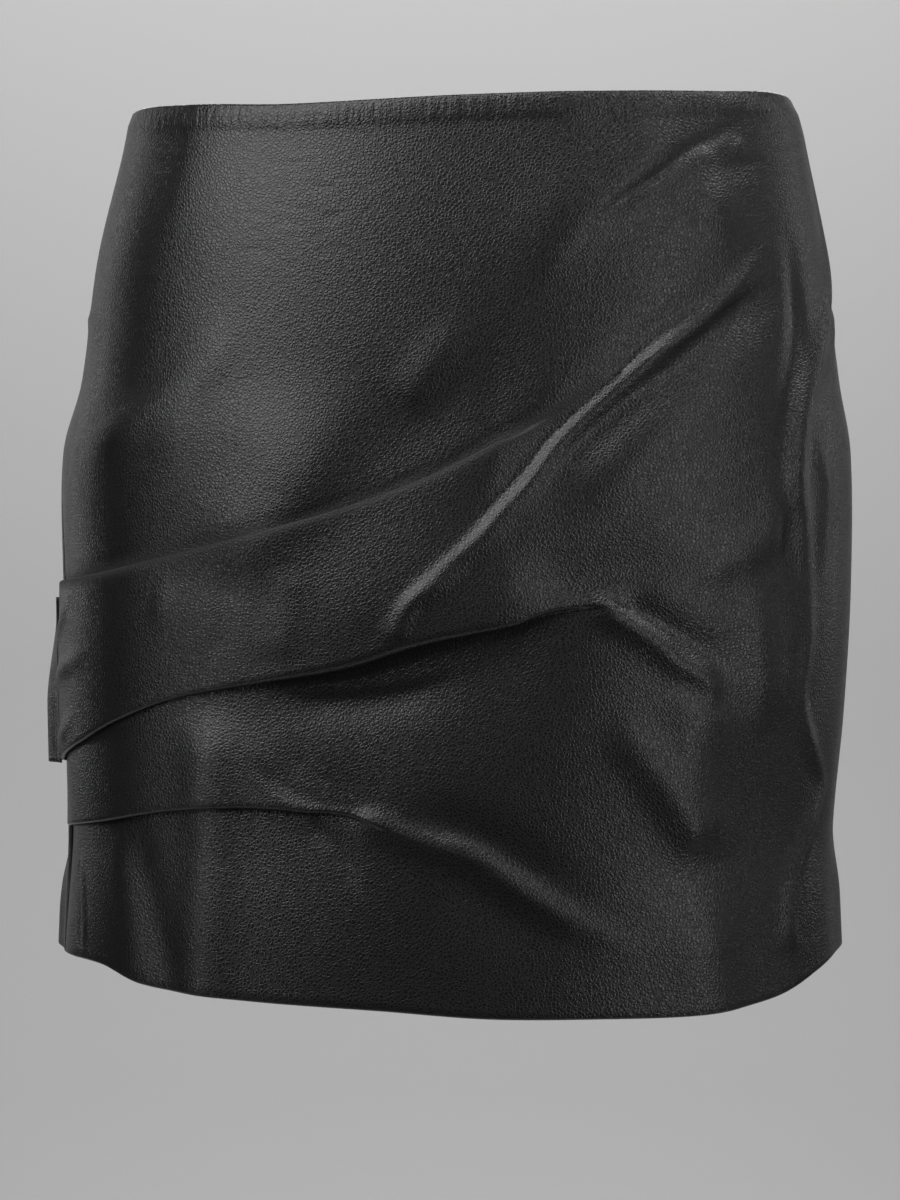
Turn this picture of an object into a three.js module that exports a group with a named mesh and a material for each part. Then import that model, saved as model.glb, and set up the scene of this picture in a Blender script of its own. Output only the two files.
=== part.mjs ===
// A draped leather mini skirt in its worn shape: a front panel with three pleats laid into its left seam,
// a plain back panel, and a folded tab over the pleat ends. Millimetres, +Z up. The front faces -Y, and +X
// is to the right as the front is looked at. The origin is the middle of the waist opening, level with the
// top of the right side seam.
//
// A place on the cloth is written as turn and down: degrees round the body from the centre front, to the
// right, and millimetres below the origin.
import * as THREE from "three";

// Driving dimensions
const WALL = 1.0; // leather thickness
const LAYER_GAP = 0.3; // air between two layers that lie on each other
const SEAM_GAP = 0.3; // air between two pieces at a seam
const FLAT_ROLL = (WALL + LAYER_GAP) / 2; // radius of a fold that is pressed flat
const OPEN_STRIP = 3; // height of each fold of a pleat where it has died out into the cloth
const SETTLE = 45; // how far from a pleat the cloth lies back on the form
const FULL_TURN = 360;
const SIDE_TURN = 90;

// Horizontal sections of the skirt, from the waist to the hem. square pushes the oval's four corners out.
const SECTIONS = [
  { down: 0, halfWidth: 146, front: 104, back: 96, shift: 1.5, square: 0.045 },
  { down: 25, halfWidth: 151.5, front: 107, back: 101, shift: 1.2, square: 0.045 },
  { down: 70, halfWidth: 160.5, front: 111, back: 111, shift: -0.5, square: 0.05 },
  { down: 125, halfWidth: 167.5, front: 115, back: 123, shift: -0.7, square: 0.05 },
  { down: 155, halfWidth: 174, front: 116.3, back: 128, shift: -2.3, square: 0.05 },
  { down: 215, halfWidth: 174, front: 117.5, back: 130, shift: -2.2, square: 0.05 },
  { down: 270, halfWidth: 171.8, front: 117.5, back: 126, shift: -3.2, square: 0.05 },
  { down: 320, halfWidth: 168.8, front: 117, back: 121, shift: -5, square: 0.055 },
  { down: 350, halfWidth: 169.5, front: 117.5, back: 120, shift: -5, square: 0.06 },
  { down: 395, halfWidth: 171.5, front: 118.5, back: 120, shift: -5, square: 0.06 },
];

// How far below the origin the two free edges lie, round the body.
const WAIST_EDGE = [
  { turn: -180, down: -7 },
  { turn: -130, down: -3 },
  { turn: -90, down: 4.5 },
  { turn: -60, down: 8 },
  { turn: -46, down: 10.3 },
  { turn: -28, down: 12.6 },
  { turn: 0, down: 10 },
  { turn: 24, down: 7.5 },
  { turn: 44, down: 4.8 },
  { turn: 58, down: 2 },
  { turn: 75, down: 0 },
  { turn: 90, down: -0.5 },
  { turn: 130, down: -4 },
  { turn: 180, down: -7 },
];
const HEM_EDGE = [
  { turn: -180, down: 367 },
  { turn: -130, down: 370 },
  { turn: -90, down: 375.5 },
  { turn: -70, down: 374.5 },
  { turn: -56, down: 375.5 },
  { turn: -46, down: 382 },
  { turn: -30, down: 386.5 },
  { turn: -10, down: 390 },
  { turn: 5, down: 393.3 },
  { turn: 20, down: 393.8 },
  { turn: 36, down: 393.3 },
  { turn: 49, down: 388.5 },
  { turn: 62, down: 379.5 },
  { turn: 75, down: 374.5 },
  { turn: 90, down: 372 },
  { turn: 130, down: 369 },
  { turn: 180, down: 367 },
];

// Where the side seams run.
const LEFT_SEAM = [
  { down: -10, turn: -86 },
  { down: 200, turn: -84 },
  { down: 400, turn: -81 },
];
const RIGHT_SEAM = [
  { down: -10, turn: 89 },
  { down: 400, turn: 91 },
];

// Pleats of the front panel, from the top down. edge is the line of the fold that shows. lies says which
// way the folded cloth lies over its neighbour. depth is the height of the hidden layer, and roll the radius
// of the folds. The pleat starts to open at the turn opens, and has gone at the turn dies.
const PLEATS = [
  {
    name: "upper",
    lies: "over what is above",
    depth: 26,
    roll: [
      { turn: -86, radius: FLAT_ROLL },
      { turn: -40, radius: 0.9 },
      { turn: -15, radius: 1 },
      { turn: 15, radius: FLAT_ROLL },
    ],
    opens: -16,
    dies: 16,
    edge: [
      { turn: -90, down: 213 },
      { turn: -58, down: 209.5 },
      { turn: -37, down: 199.5 },
      { turn: -20, down: 187 },
      { turn: -5, down: 171 },
      { turn: 5, down: 156 },
      { turn: 13, down: 143 },
      { turn: 24, down: 122 },
      { turn: 36, down: 108 },
      { turn: 55, down: 100 },
      { turn: 95, down: 95 },
    ],
  },
  {
    name: "middle",
    lies: "over what is below",
    depth: 24,
    roll: [
      { turn: -86, radius: FLAT_ROLL },
      { turn: -40, radius: 0.8 },
      { turn: -28, radius: 1.6 },
      { turn: -12, radius: 2.8 },
      { turn: 22, radius: 1.3 },
    ],
    opens: 0,
    dies: 26,
    edge: [
      { turn: -90, down: 294 },
      { turn: -64, down: 281 },
      { turn: -52, down: 271 },
      { turn: -40, down: 261 },
      { turn: -28, down: 255 },
      { turn: -15, down: 248.5 },
      { turn: -5, down: 239 },
      { turn: 5, down: 232.5 },
      { turn: 18, down: 225 },
      { turn: 35, down: 228 },
      { turn: 60, down: 232 },
      { turn: 95, down: 232 },
    ],
  },
  {
    name: "lower",
    lies: "over what is below",
    depth: 15,
    roll: [
      { turn: -86, radius: FLAT_ROLL },
      { turn: -20, radius: 1.1 },
      { turn: 0, radius: 1 },
    ],
    opens: -28,
    dies: -4,
    edge: [
      { turn: -90, down: 320.5 },
      { turn: -58, down: 314.5 },
      { turn: -40, down: 308 },
      { turn: -27, down: 306.5 },
      { turn: -15, down: 310.5 },
      { turn: -7, down: 319 },
      { turn: 5, down: 330 },
      { turn: 30, down: 338 },
      { turn: 95, down: 336 },
    ],
  },
];

// Soft folds of the cloth. height is how far a crest stands out, or a trough goes in where it is negative.
// left and right are its half widths on either hand of its path, as walked on the outside of the cloth from
// the first point. fade is the share of the path over which each end dies out. Its points are [turn, down].
const FOLDS = [
  { name: "hip sweep", height: 3.2, left: 5, right: 4.5, fade: [0.12, 0.12],
    path: [[51, 61], [49, 70], [43.5, 84], [35.5, 101], [29, 114], [23, 127], [17.5, 142], [13, 156],
      [9, 168], [6, 181], [2, 196], [-2, 206], [-6, 218], [-9, 228], [-11, 238], [-14, 244]] },
  { name: "valley above the hip sweep", height: -3, left: 7, right: 12, fade: [0.3, 0.4],
    path: [[46, 60], [39, 76], [30, 93], [24.5, 108], [18, 123], [14, 138], [10, 154]] },
  { name: "valley below the hip sweep", height: -3.5, left: 14, right: 8, fade: [0.2, 0.35],
    path: [[57, 70], [45, 92], [37, 108], [29, 126], [23, 138], [17.5, 150], [13, 164], [8.5, 183]] },
  { name: "swell at the right of the waist", height: 2.5, left: 14, right: 12, fade: [0.5, 0.5],
    path: [[45, 40], [39.5, 54], [34, 70]] },
  { name: "tuck crease", height: -2.2, left: 3, right: 3, fade: [0.1, 0.55],
    path: [[49, 16], [43, 24], [36, 32], [31, 42], [24, 54], [20, 64], [17, 77], [14, 90]] },
  { name: "tuck ridge", height: 2.1, left: 4.5, right: 4, fade: [0.4, 0.5],
    path: [[41, 30], [35, 36], [30.5, 47], [27, 54], [24, 63], [20.5, 75]] },
  { name: "swell above the tuck", height: 2, left: 10, right: 14, fade: [0.3, 0.5],
    path: [[39, 20], [30, 32], [22, 50], [15, 71], [8.5, 96]] },
  { name: "outer side fold", height: 1.9, left: 6, right: 8, fade: [0.3, 0.3],
    path: [[82, 6], [83, 35], [84, 64], [69.5, 99], [60, 124], [54, 144], [52, 165], [53, 186],
      [55, 220], [56.5, 254]] },
  { name: "valley inside the outer fold", height: -2.5, left: 5, right: 6, fade: [0.3, 0.3],
    path: [[57, 56], [57, 80], [56.5, 105], [52, 136], [49, 166], [50, 195], [52, 229]] },
  { name: "second outer fold", height: 1.2, left: 5, right: 5, fade: [0.35, 0.4],
    path: [[57, 148], [61, 169], [60, 194], [59, 220]] },
  { name: "corner of the right hip", height: 2.2, left: 7, right: 10, fade: [0.3, 0.4],
    path: [[56, 105], [52, 144], [50, 166], [48, 184], [44, 197], [37, 204], [28.5, 206], [21, 216]] },
  { name: "trough above the knot", height: -2.8, left: 9, right: 8, fade: [0.4, 0.4],
    path: [[6.5, 214], [13, 216], [17.5, 214], [22, 208], [28.5, 202], [36, 198]] },
  { name: "strut", height: 2.6, left: 3.2, right: 9, fade: [0.2, 0.25],
    path: [[18, 219], [21.5, 226], [27, 236], [31, 246], [35, 252], [36.5, 258], [36, 267]] },
  { name: "valley beside the strut", height: -2, left: 7, right: 3.5, fade: [0.2, 0.4],
    path: [[21, 218], [25.5, 226], [31, 236], [37, 246], [41, 258]] },
  { name: "right panel roll", height: 2, left: 9, right: 16, fade: [0.4, 0.4],
    path: [[40, 204], [44, 228], [46, 258], [47, 280]] },
  { name: "first drop", height: 1.8, left: 10, right: 18, fade: [0.3, 0.3],
    path: [[36.5, 258], [35, 270], [34, 287], [35, 304], [37, 322], [38, 333]] },
  { name: "second drop", height: 2, left: 8, right: 9, fade: [0.35, 0.15],
    path: [[21, 264], [26, 284], [32, 306], [37, 324]] },
  { name: "slope to the right hem", height: 2.4, left: 9, right: 22, fade: [0.35, 0],
    path: [[37, 316], [36, 337], [37.5, 358], [38, 377], [39, 392]] },
  { name: "valley at the right hem", height: -1.8, left: 16, right: 14, fade: [0.35, 0],
    path: [[43.5, 262], [43.5, 288], [44.5, 317], [45, 338], [44, 363], [43, 392]] },
  { name: "right hem flare", height: 2.5, left: 16, right: 16, fade: [0.6, 0],
    path: [[84, 318], [85, 345], [86, 390]] },
  { name: "right side ripple", height: 1.8, left: 4, right: 5, fade: [0.3, 0.3],
    path: [[54, 204], [55.5, 238], [54.5, 263], [59.5, 284], [69, 302]] },
  { name: "lower side ripple", height: 2, left: 4, right: 6, fade: [0.3, 0.2],
    path: [[68, 294], [62, 314], [56, 336], [53.5, 356], [54, 373]] },
  { name: "long lower fold", height: 1.8, left: 7, right: 9, fade: [0.1, 0.35],
    path: [[-14, 307], [-9, 314], [-3.5, 320], [3, 325], [8, 336], [14, 348], [21.5, 359], [29, 368]] },
  { name: "valley above the long fold", height: -1.5, left: 10, right: 6, fade: [0.3, 0.4],
    path: [[-7, 309], [0, 315], [7, 324], [15, 338], [24, 350]] },
  { name: "valley below the long fold", height: -1, left: 10, right: 16, fade: [0.3, 0.4],
    path: [[-3, 331], [3, 342], [10, 354], [18, 367]] },
  { name: "shoulder in the middle tier", height: 1.1, left: 7, right: 10, fade: [0.35, 0.3],
    path: [[-33, 262], [-29, 280], [-23, 296], [-17, 304], [-10, 309]] },
  { name: "valley in the middle tier", height: -1.8, left: 9, right: 5, fade: [0.3, 0.4],
    path: [[-25.5, 270], [-20, 284], [-14, 294], [-7, 303]] },
  { name: "front left column", height: 2.4, left: 5, right: 14, fade: [0.2, 0],
    path: [[-36, 262], [-35, 287], [-35, 308], [-35, 333], [-35, 362], [-35, 387]] },
  { name: "left hem fold", height: 1.6, left: 12, right: 16, fade: [0.3, 0],
    path: [[-58, 316], [-52.5, 330], [-49, 351], [-47.5, 370], [-44, 382]] },
  { name: "left hem trough", height: -1.5, left: 9, right: 10, fade: [0.3, 0],
    path: [[-50.5, 316], [-47, 334], [-44, 354], [-41, 380]] },
  { name: "left hem flare", height: 6.5, left: 14, right: 16, fade: [0.7, 0],
    path: [[-96, 318], [-98, 345], [-99, 390]] },
  { name: "band crease", height: -1.4, left: 6, right: 3, fade: [0.25, 0.25],
    path: [[-31, 202], [-32, 224], [-33.5, 248]] },
  { name: "second band crease", height: 1.3, left: 6, right: 6, fade: [0.25, 0.25],
    path: [[-21.5, 204], [-23, 228], [-24, 248]] },
  { name: "shoulder above the band", height: 4, left: 18, right: 28, fade: [0.45, 0.3],
    path: [[-14, 125], [-17, 146], [-20, 162], [-23, 177], [-26.5, 190], [-29, 204], [-31, 220]] },
  { name: "streak above the band", height: 1.5, left: 8, right: 10, fade: [0.4, 0.4],
    path: [[3, 98], [-5, 128], [-8.5, 144]] },
  { name: "left side drag", height: 1.6, left: 8, right: 8, fade: [0.4, 0.5],
    path: [[-65, 156], [-50, 146], [-38, 120]] },
  { name: "back drag from the left", height: 3, left: 14, right: 18, fade: [0.2, 0.5],
    path: [[-100, 236], [-120, 252], [-145, 262], [-165, 262]] },
  { name: "trough under the left back drag", height: -2.5, left: 14, right: 12, fade: [0.2, 0.5],
    path: [[-102, 272], [-122, 292], [-142, 306]] },
  { name: "back drag from the right", height: 3, left: 14, right: 18, fade: [0.2, 0.5],
    path: [[104, 168], [126, 190], [150, 202]] },
  { name: "back right column", height: 3.5, left: 14, right: 14, fade: [0.4, 0],
    path: [[128, 268], [126, 320], [124, 395]] },
  { name: "back right hollow", height: -3, left: 16, right: 16, fade: [0.4, 0],
    path: [[112, 290], [109, 330], [107, 395]] },
  { name: "back left column", height: 3, left: 16, right: 16, fade: [0.4, 0],
    path: [[-140, 280], [-136, 330], [-134, 395]] },
  { name: "right seat swell", height: 2.5, left: 34, right: 34, fade: [0.45, 0.45],
    path: [[150, 130], [148, 175], [152, 220]] },
  { name: "left seat swell", height: 2.5, left: 34, right: 34, fade: [0.45, 0.45],
    path: [[-150, 130], [-148, 175], [-152, 220]] },
];

// The tab that covers the pleat ends, behind the left seam.
const TAB = { top: 219, bottom: 292, wide: 19, seamLift: 3.2, crestLift: 9, crest: 0.62 };

// How finely each panel is divided.
const FRONT_COLUMNS = 60;
const FRONT_ROWS = [9, 8, 5, 6]; // above, between and below the pleats
const BACK_COLUMNS = 34;
const BACK_ROWS = 18;
const TAB_COLUMNS = 8;
const TAB_ROWS = 8;
const PATH_STEPS = 4; // straight steps between two points of a fold's path

// Small sums
const clamp = (x, low, high) => Math.min(high, Math.max(low, x));
const mix = (a, b, share) => a + (b - a) * share;
const radians = (degrees) => (degrees * Math.PI) / 180;

function ease(x) {
  const t = clamp(x, 0, 1);
  return t * t * (3 - 2 * t);
}

// A smooth curve through the rows of a table: column y where column x is at.
function along(rows, x, y, at) {
  const last = rows.length - 1;
  const slope = (i) => {
    const before = rows[Math.max(i - 1, 0)];
    const after = rows[Math.min(i + 1, last)];
    return (after[y] - before[y]) / (after[x] - before[x]);
  };
  const place = clamp(at, rows[0][x], rows[last][x]);
  let i = 0;
  while (i < last - 1 && rows[i + 1][x] <= place) i += 1;
  const step = rows[i + 1][x] - rows[i][x];
  const t = (place - rows[i][x]) / step;
  const t2 = t * t;
  const t3 = t2 * t;
  return (
    (2 * t3 - 3 * t2 + 1) * rows[i][y] +
    (t3 - 2 * t2 + t) * step * slope(i) +
    (3 * t2 - 2 * t3) * rows[i + 1][y] +
    (t3 - t2) * step * slope(i + 1)
  );
}

// The oval of the skirt, without folds.
function onForm(turn, down, lift) {
  const t = radians(turn);
  const size = (name) => along(SECTIONS, "down", name, down);
  const corner = 1 + size("square") * Math.sin(2 * t) ** 2;
  const depth = Math.cos(t) >= 0 ? size("front") : size("back");
  const wide = size("halfWidth");
  const point = new THREE.Vector3(
    size("shift") + wide * Math.sin(t) * corner,
    -depth * Math.cos(t) * corner,
    -down,
  );
  const out = new THREE.Vector3(Math.sin(t) / wide, -Math.cos(t) / depth, 0).normalize();
  return point.addScaledVector(out, lift);
}

// Millimetres round the body from the centre front, on a flat plan of the cloth.
const FRONT_RATE = 3.05; // millimetres a degree at the centre front
const SIDE_LOSS = 4.4e-5; // how that falls off towards the sides
const QUARTER = SIDE_TURN * (FRONT_RATE - SIDE_LOSS * SIDE_TURN ** 2);
const GIRTH = 4 * QUARTER;

function across(turn) {
  const wrapped = turn - FULL_TURN * Math.round(turn / FULL_TURN);
  const fromSide = (t) => t * (FRONT_RATE - SIDE_LOSS * t * t);
  if (Math.abs(wrapped) <= SIDE_TURN) return fromSide(wrapped);
  return Math.sign(wrapped) * (2 * QUARTER - fromSide(2 * SIDE_TURN - Math.abs(wrapped)));
}

// A fold's path as short straight steps on that plan.
function stepsOf(fold) {
  const points = fold.path.map(([turn, down]) => new THREE.Vector3(across(turn), down, 0));
  for (const p of points) p.x -= GIRTH * Math.round((p.x - points[0].x) / GIRTH);
  const curve = new THREE.CatmullRomCurve3(points, false, "centripetal");
  return curve.getPoints(PATH_STEPS * (points.length - 1));
}
const STEPS = new Map(FOLDS.map((fold) => [fold.name, stepsOf(fold)]));

// How far one fold moves the cloth out at a place on the plan.
function rise(fold, x, y) {
  const steps = STEPS.get(fold.name);
  const near = x - GIRTH * Math.round((x - steps[0].x) / GIRTH);
  let best = { gap: Infinity, share: 0, side: 1 };
  for (let i = 0; i + 1 < steps.length; i += 1) {
    const [a, b] = [steps[i], steps[i + 1]];
    const [dx, dy] = [b.x - a.x, b.y - a.y];
    const t = clamp(((near - a.x) * dx + (y - a.y) * dy) / (dx * dx + dy * dy), 0, 1);
    const [gx, gy] = [near - a.x - t * dx, y - a.y - t * dy];
    const gap = Math.hypot(gx, gy);
    if (gap < best.gap) best = { gap, share: (i + t) / (steps.length - 1), side: gx * dy - gy * dx };
  }
  const width = best.side > 0 ? fold.left : fold.right;
  const [start, end] = fold.fade;
  const begins = start > 0 ? ease(best.share / start) : 1;
  const stops = end > 0 ? ease((1 - best.share) / end) : 1;
  return fold.height * begins * stops * Math.exp(-((best.gap / width) ** 2));
}

function relief(turn, down) {
  const x = across(turn);
  return FOLDS.reduce((sum, fold) => sum + rise(fold, x, down), 0);
}

// One pleat's shape in a column of the cloth: points as steps down and out from where its hidden part
// begins, and how far the fold that shows lies below that start.
function pleatShape(pleat, turn) {
  const opened = ease((turn - pleat.opens) / (pleat.dies - pleat.opens));
  const seam = pleat.edge[0].turn;
  const share = clamp((turn - seam) / (pleat.opens - seam), 0, 1);
  const roll = along(pleat.roll, "turn", "radius", turn);
  const angle = Math.PI * (1 - opened);
  const apart = 2 * roll * (1 - ease(opened));
  const foldLength = (apart * angle) / Math.max(1 - Math.cos(angle), 1e-6) + OPEN_STRIP * opened;
  const hidden = mix(pleat.depth * (1 - 0.5 * share ** 2), 1, ease(opened * 1.6));
  const outward = pleat.lies === "over what is above" ? 1 : -1;
  const headings = [
    [0.25 * angle, foldLength / 2],
    [0.75 * angle, foldLength / 2],
    [angle, hidden],
    [0.75 * angle, foldLength / 2],
    [0.25 * angle, foldLength / 2],
  ];
  const points = [{ down: 0, out: 0 }];
  for (const [heading, length] of headings) {
    const { down, out } = points[points.length - 1];
    points.push({
      down: down + length * Math.cos(heading),
      out: out + outward * length * Math.sin(heading),
    });
  }
  const shown = outward > 0 ? points[4].down : points[1].down;
  return { points, shown };
}

// Half the seam gap, as a turn at the side.
const SEAM_TURN = SEAM_GAP / 2 / (FRONT_RATE - 3 * SIDE_LOSS * SIDE_TURN ** 2);

// The value that find gives at the turn it leads to, since the seams slant.
function settle(turnAt, rows, guess) {
  let down = guess;
  for (let i = 0; i < 4; i += 1) down = along(rows, "turn", "down", turnAt(down));
  return down;
}

// The pleats as they lie in one column, each with its points as places down and out.
function layPleats(turnAt) {
  return PLEATS.map((pleat) => {
    const edge = settle(turnAt, pleat.edge, 200);
    const { points, shown } = pleatShape(pleat, turnAt(edge));
    const middle = points[points.length - 1].out / 2;
    const placed = points.map((p) => ({ down: p.down + edge - shown, out: p.out - middle }));
    const downs = placed.map((p) => p.down);
    return { points: placed, top: Math.min(...downs), bottom: Math.max(...downs) };
  });
}

// How far the pleats of a column push the cloth in or out at a place. panel counts the pleats above it, and
// skipped is a pleat that the place belongs to.
function push(pleats, down, panel, skipped = -1) {
  return pleats.reduce((sum, { points, top, bottom }, i) => {
    if (i === skipped) return sum;
    const isAbove = i < panel;
    const edge = isAbove ? points[points.length - 1].out : points[0].out;
    const away = Math.max(0, isAbove ? down - bottom : top - down);
    return sum + edge * Math.exp(-((away / SETTLE) ** 2));
  }, 0);
}

// One column of the front panel, from waist to hem, share of the way from the left seam to the right.
function frontColumn(share) {
  const turnAt = (down) => mix(
    along(LEFT_SEAM, "down", "turn", down) + SEAM_TURN,
    along(RIGHT_SEAM, "down", "turn", down) - SEAM_TURN,
    share,
  );
  const waist = settle(turnAt, WAIST_EDGE, 0);
  const hem = settle(turnAt, HEM_EDGE, 380);
  const pleats = layPleats(turnAt);
  const rows = [];
  let above = waist;
  pleats.forEach(({ points }, i) => {
    for (let k = 0; k < FRONT_ROWS[i]; k += 1) {
      const down = mix(above, points[0].down, k / FRONT_ROWS[i]);
      rows.push({ down, lift: push(pleats, down, i) });
    }
    for (const { down, out } of points.slice(0, -1)) {
      rows.push({ down, lift: push(pleats, down, i, i) + out });
    }
    above = points[points.length - 1].down;
  });
  const last = FRONT_ROWS[pleats.length];
  for (let k = 0; k <= last; k += 1) {
    const down = mix(above, hem, k / last);
    rows.push({ down, lift: push(pleats, down, pleats.length) });
  }
  return rows.map(({ down, lift }) => ({ turn: turnAt(down), down, lift }));
}

// A closed wall of leather on a grid of points: columns from left to right as seen from outside, rows down.
function wall(columns) {
  const wide = columns.length;
  const high = columns[0].length;
  const unit = (a, b) => b.clone().sub(a).normalize();
  const direction = (before, here, after) => {
    const sum = new THREE.Vector3();
    if (before) sum.add(unit(before, here));
    if (after) sum.add(unit(here, after));
    return sum;
  };
  const positions = [];
  for (const side of [0.5, -0.5]) {
    columns.forEach((column, i) => {
      column.forEach((point, k) => {
        const right = direction(columns[i - 1]?.[k], point, columns[i + 1]?.[k]);
        const downward = direction(column[k - 1], point, column[k + 1]);
        const normal = downward.cross(right).normalize();
        positions.push(...point.clone().addScaledVector(normal, side * WALL).toArray());
      });
    });
  }
  const outer = (i, k) => i * high + k;
  const inner = (i, k) => wide * high + i * high + k;
  const faces = [];
  const quad = (a, b, c, d) => faces.push(a, b, c, a, c, d);
  for (let i = 0; i + 1 < wide; i += 1) {
    for (let k = 0; k + 1 < high; k += 1) {
      quad(outer(i, k), outer(i, k + 1), outer(i + 1, k + 1), outer(i + 1, k));
      quad(inner(i, k), inner(i + 1, k), inner(i + 1, k + 1), inner(i, k + 1));
    }
    quad(outer(i, 0), outer(i + 1, 0), inner(i + 1, 0), inner(i, 0));
    quad(outer(i + 1, high - 1), outer(i, high - 1), inner(i, high - 1), inner(i + 1, high - 1));
  }
  for (let k = 0; k + 1 < high; k += 1) {
    quad(outer(0, k + 1), outer(0, k), inner(0, k), inner(0, k + 1));
    quad(outer(wide - 1, k), outer(wide - 1, k + 1), inner(wide - 1, k + 1), inner(wide - 1, k));
  }
  const geometry = new THREE.BufferGeometry();
  geometry.setAttribute("position", new THREE.Float32BufferAttribute(positions, 3));
  geometry.setIndex(faces);
  return geometry;
}

const onCloth = ({ turn, down, lift }) => onForm(turn, down, lift + relief(turn, down));

function frontPanel() {
  const columns = [];
  for (let i = 0; i <= FRONT_COLUMNS; i += 1) {
    columns.push(frontColumn(i / FRONT_COLUMNS).map(onCloth));
  }
  return wall(columns);
}

// The back panel runs from the right seam round to the left one.
function backPanel() {
  const columns = [];
  for (let i = 0; i <= BACK_COLUMNS; i += 1) {
    const turnAt = (down) => mix(
      along(RIGHT_SEAM, "down", "turn", down) + SEAM_TURN,
      along(LEFT_SEAM, "down", "turn", down) + FULL_TURN - SEAM_TURN,
      i / BACK_COLUMNS,
    );
    const wrapped = (down) => turnAt(down) - (turnAt(down) > FULL_TURN / 2 ? FULL_TURN : 0);
    const waist = settle(wrapped, WAIST_EDGE, 0);
    const hem = settle(wrapped, HEM_EDGE, 370);
    const column = [];
    for (let k = 0; k <= BACK_ROWS; k += 1) {
      const down = mix(waist, hem, k / BACK_ROWS);
      column.push(onCloth({ turn: turnAt(down), down, lift: 0 }));
    }
    columns.push(column);
  }
  return wall(columns);
}

// The tab arches over the ends of the pleats and comes down on the back panel.
function sideTab() {
  const columns = [];
  for (let i = 0; i <= TAB_COLUMNS; i += 1) {
    const share = i / TAB_COLUMNS;
    const column = [];
    for (let k = 0; k <= TAB_ROWS; k += 1) {
      const down = mix(TAB.top, TAB.bottom, k / TAB_ROWS);
      const seam = along(LEFT_SEAM, "down", "turn", down) - 2 * SEAM_TURN;
      const turn = seam - TAB.wide * (1 - share);
      const crestLift = mix(TAB.seamLift, TAB.crestLift, ease((1.5 * k) / TAB_ROWS));
      const lift = share > TAB.crest
        ? mix(crestLift, TAB.seamLift, ease((share - TAB.crest) / (1 - TAB.crest)))
        : mix(WALL + LAYER_GAP, crestLift, ease(share / TAB.crest));
      column.push(onCloth({ turn, down, lift }));
    }
    columns.push(column);
  }
  return wall(columns);
}

const LEATHER = { color: 0x17171a, roughness: 0.42, metalness: 0 };

function piece(name, geometry) {
  const mesh = new THREE.Mesh(geometry, new THREE.MeshStandardMaterial(LEATHER));
  mesh.name = name;
  return mesh;
}

const skirt = new THREE.Group();
skirt.add(
  piece("front_panel", frontPanel()),
  piece("back_panel", backPanel()),
  piece("side_tab", sideTab()),
);

export default skirt;
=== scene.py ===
"""The look of a draped black leather mini skirt in its worn shape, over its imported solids. Metres, +Z up.

A place on the leather is written as turn and down: degrees round the body from the centre front, to the right
as the front is looked at, and millimetres below the origin. Tables are in millimetres and degrees.
"""

import math

import bmesh
import bpy
import numpy as np
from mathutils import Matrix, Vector

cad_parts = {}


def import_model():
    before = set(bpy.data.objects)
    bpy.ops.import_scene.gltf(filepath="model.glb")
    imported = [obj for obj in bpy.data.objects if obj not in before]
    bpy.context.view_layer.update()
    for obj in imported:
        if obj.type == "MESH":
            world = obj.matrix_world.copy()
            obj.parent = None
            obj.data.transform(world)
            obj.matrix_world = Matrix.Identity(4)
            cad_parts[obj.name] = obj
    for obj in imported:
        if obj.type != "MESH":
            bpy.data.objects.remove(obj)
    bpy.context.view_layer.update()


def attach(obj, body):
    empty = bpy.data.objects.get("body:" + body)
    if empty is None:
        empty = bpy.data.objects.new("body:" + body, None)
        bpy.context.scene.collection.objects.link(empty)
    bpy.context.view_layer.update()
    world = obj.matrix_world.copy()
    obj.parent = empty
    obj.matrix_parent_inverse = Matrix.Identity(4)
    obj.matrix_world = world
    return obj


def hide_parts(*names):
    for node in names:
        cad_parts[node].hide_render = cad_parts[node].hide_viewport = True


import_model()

# Driving values
MM = 0.001
WALL = 1.0  # leather thickness
LAYER_GAP = 0.3  # air between two layers that lie on each other
FLAT_ROLL = (WALL + LAYER_GAP) / 2
OPEN_STRIP = 0.8  # height of each fold of a pleat where it has died out
OPEN_DEPTH = 0.4  # depth of the hidden layers there
PLEAT_TAPER = 0.93  # share of a pleat's depth that is gone where it starts to open
SHRINK_FIRST = 2  # how much sooner the hidden layers shrink than the pleat opens
SETTLE = 45.0  # how far from a pleat the leather lies back on the form
SEAM_GAP = 0.3  # between two panels
TURNED = 9.5  # leather turned in at the waist and the hem
TURNED_RISE = 0.3  # how far the turned leather lifts what shows over it
TURNED_FADE = 3.0  # over how far that lift dies out
TUCK = 0.9  # how far the leather dips where it goes in under a pleat
TUCK_WIDE = 2.6
SEAM_DIP = 1.1  # how far the leather rolls in at a side seam
SEAM_ROLL = 1.8  # how wide that roll is
VALLEY_DULL = 0.2  # how much rougher the leather is between its pebbles
FOLD_DULL = 0.35  # how much rougher it is where the upper pleat is folded
FOLD_WIDE = 2.4  # how far from that fold the roughness lies
FOLD_ENDS = (13.0, 23.0)  # the turns between which it dies out
WORN_PLACE = (-0.066, -0.100, -0.058)  # the middle of the worn creases, in metres
WORN_REACH = 0.038
PUCKER_FADE = (3.0, -2.0)  # how far from the turned leather the gathers start and are full

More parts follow.
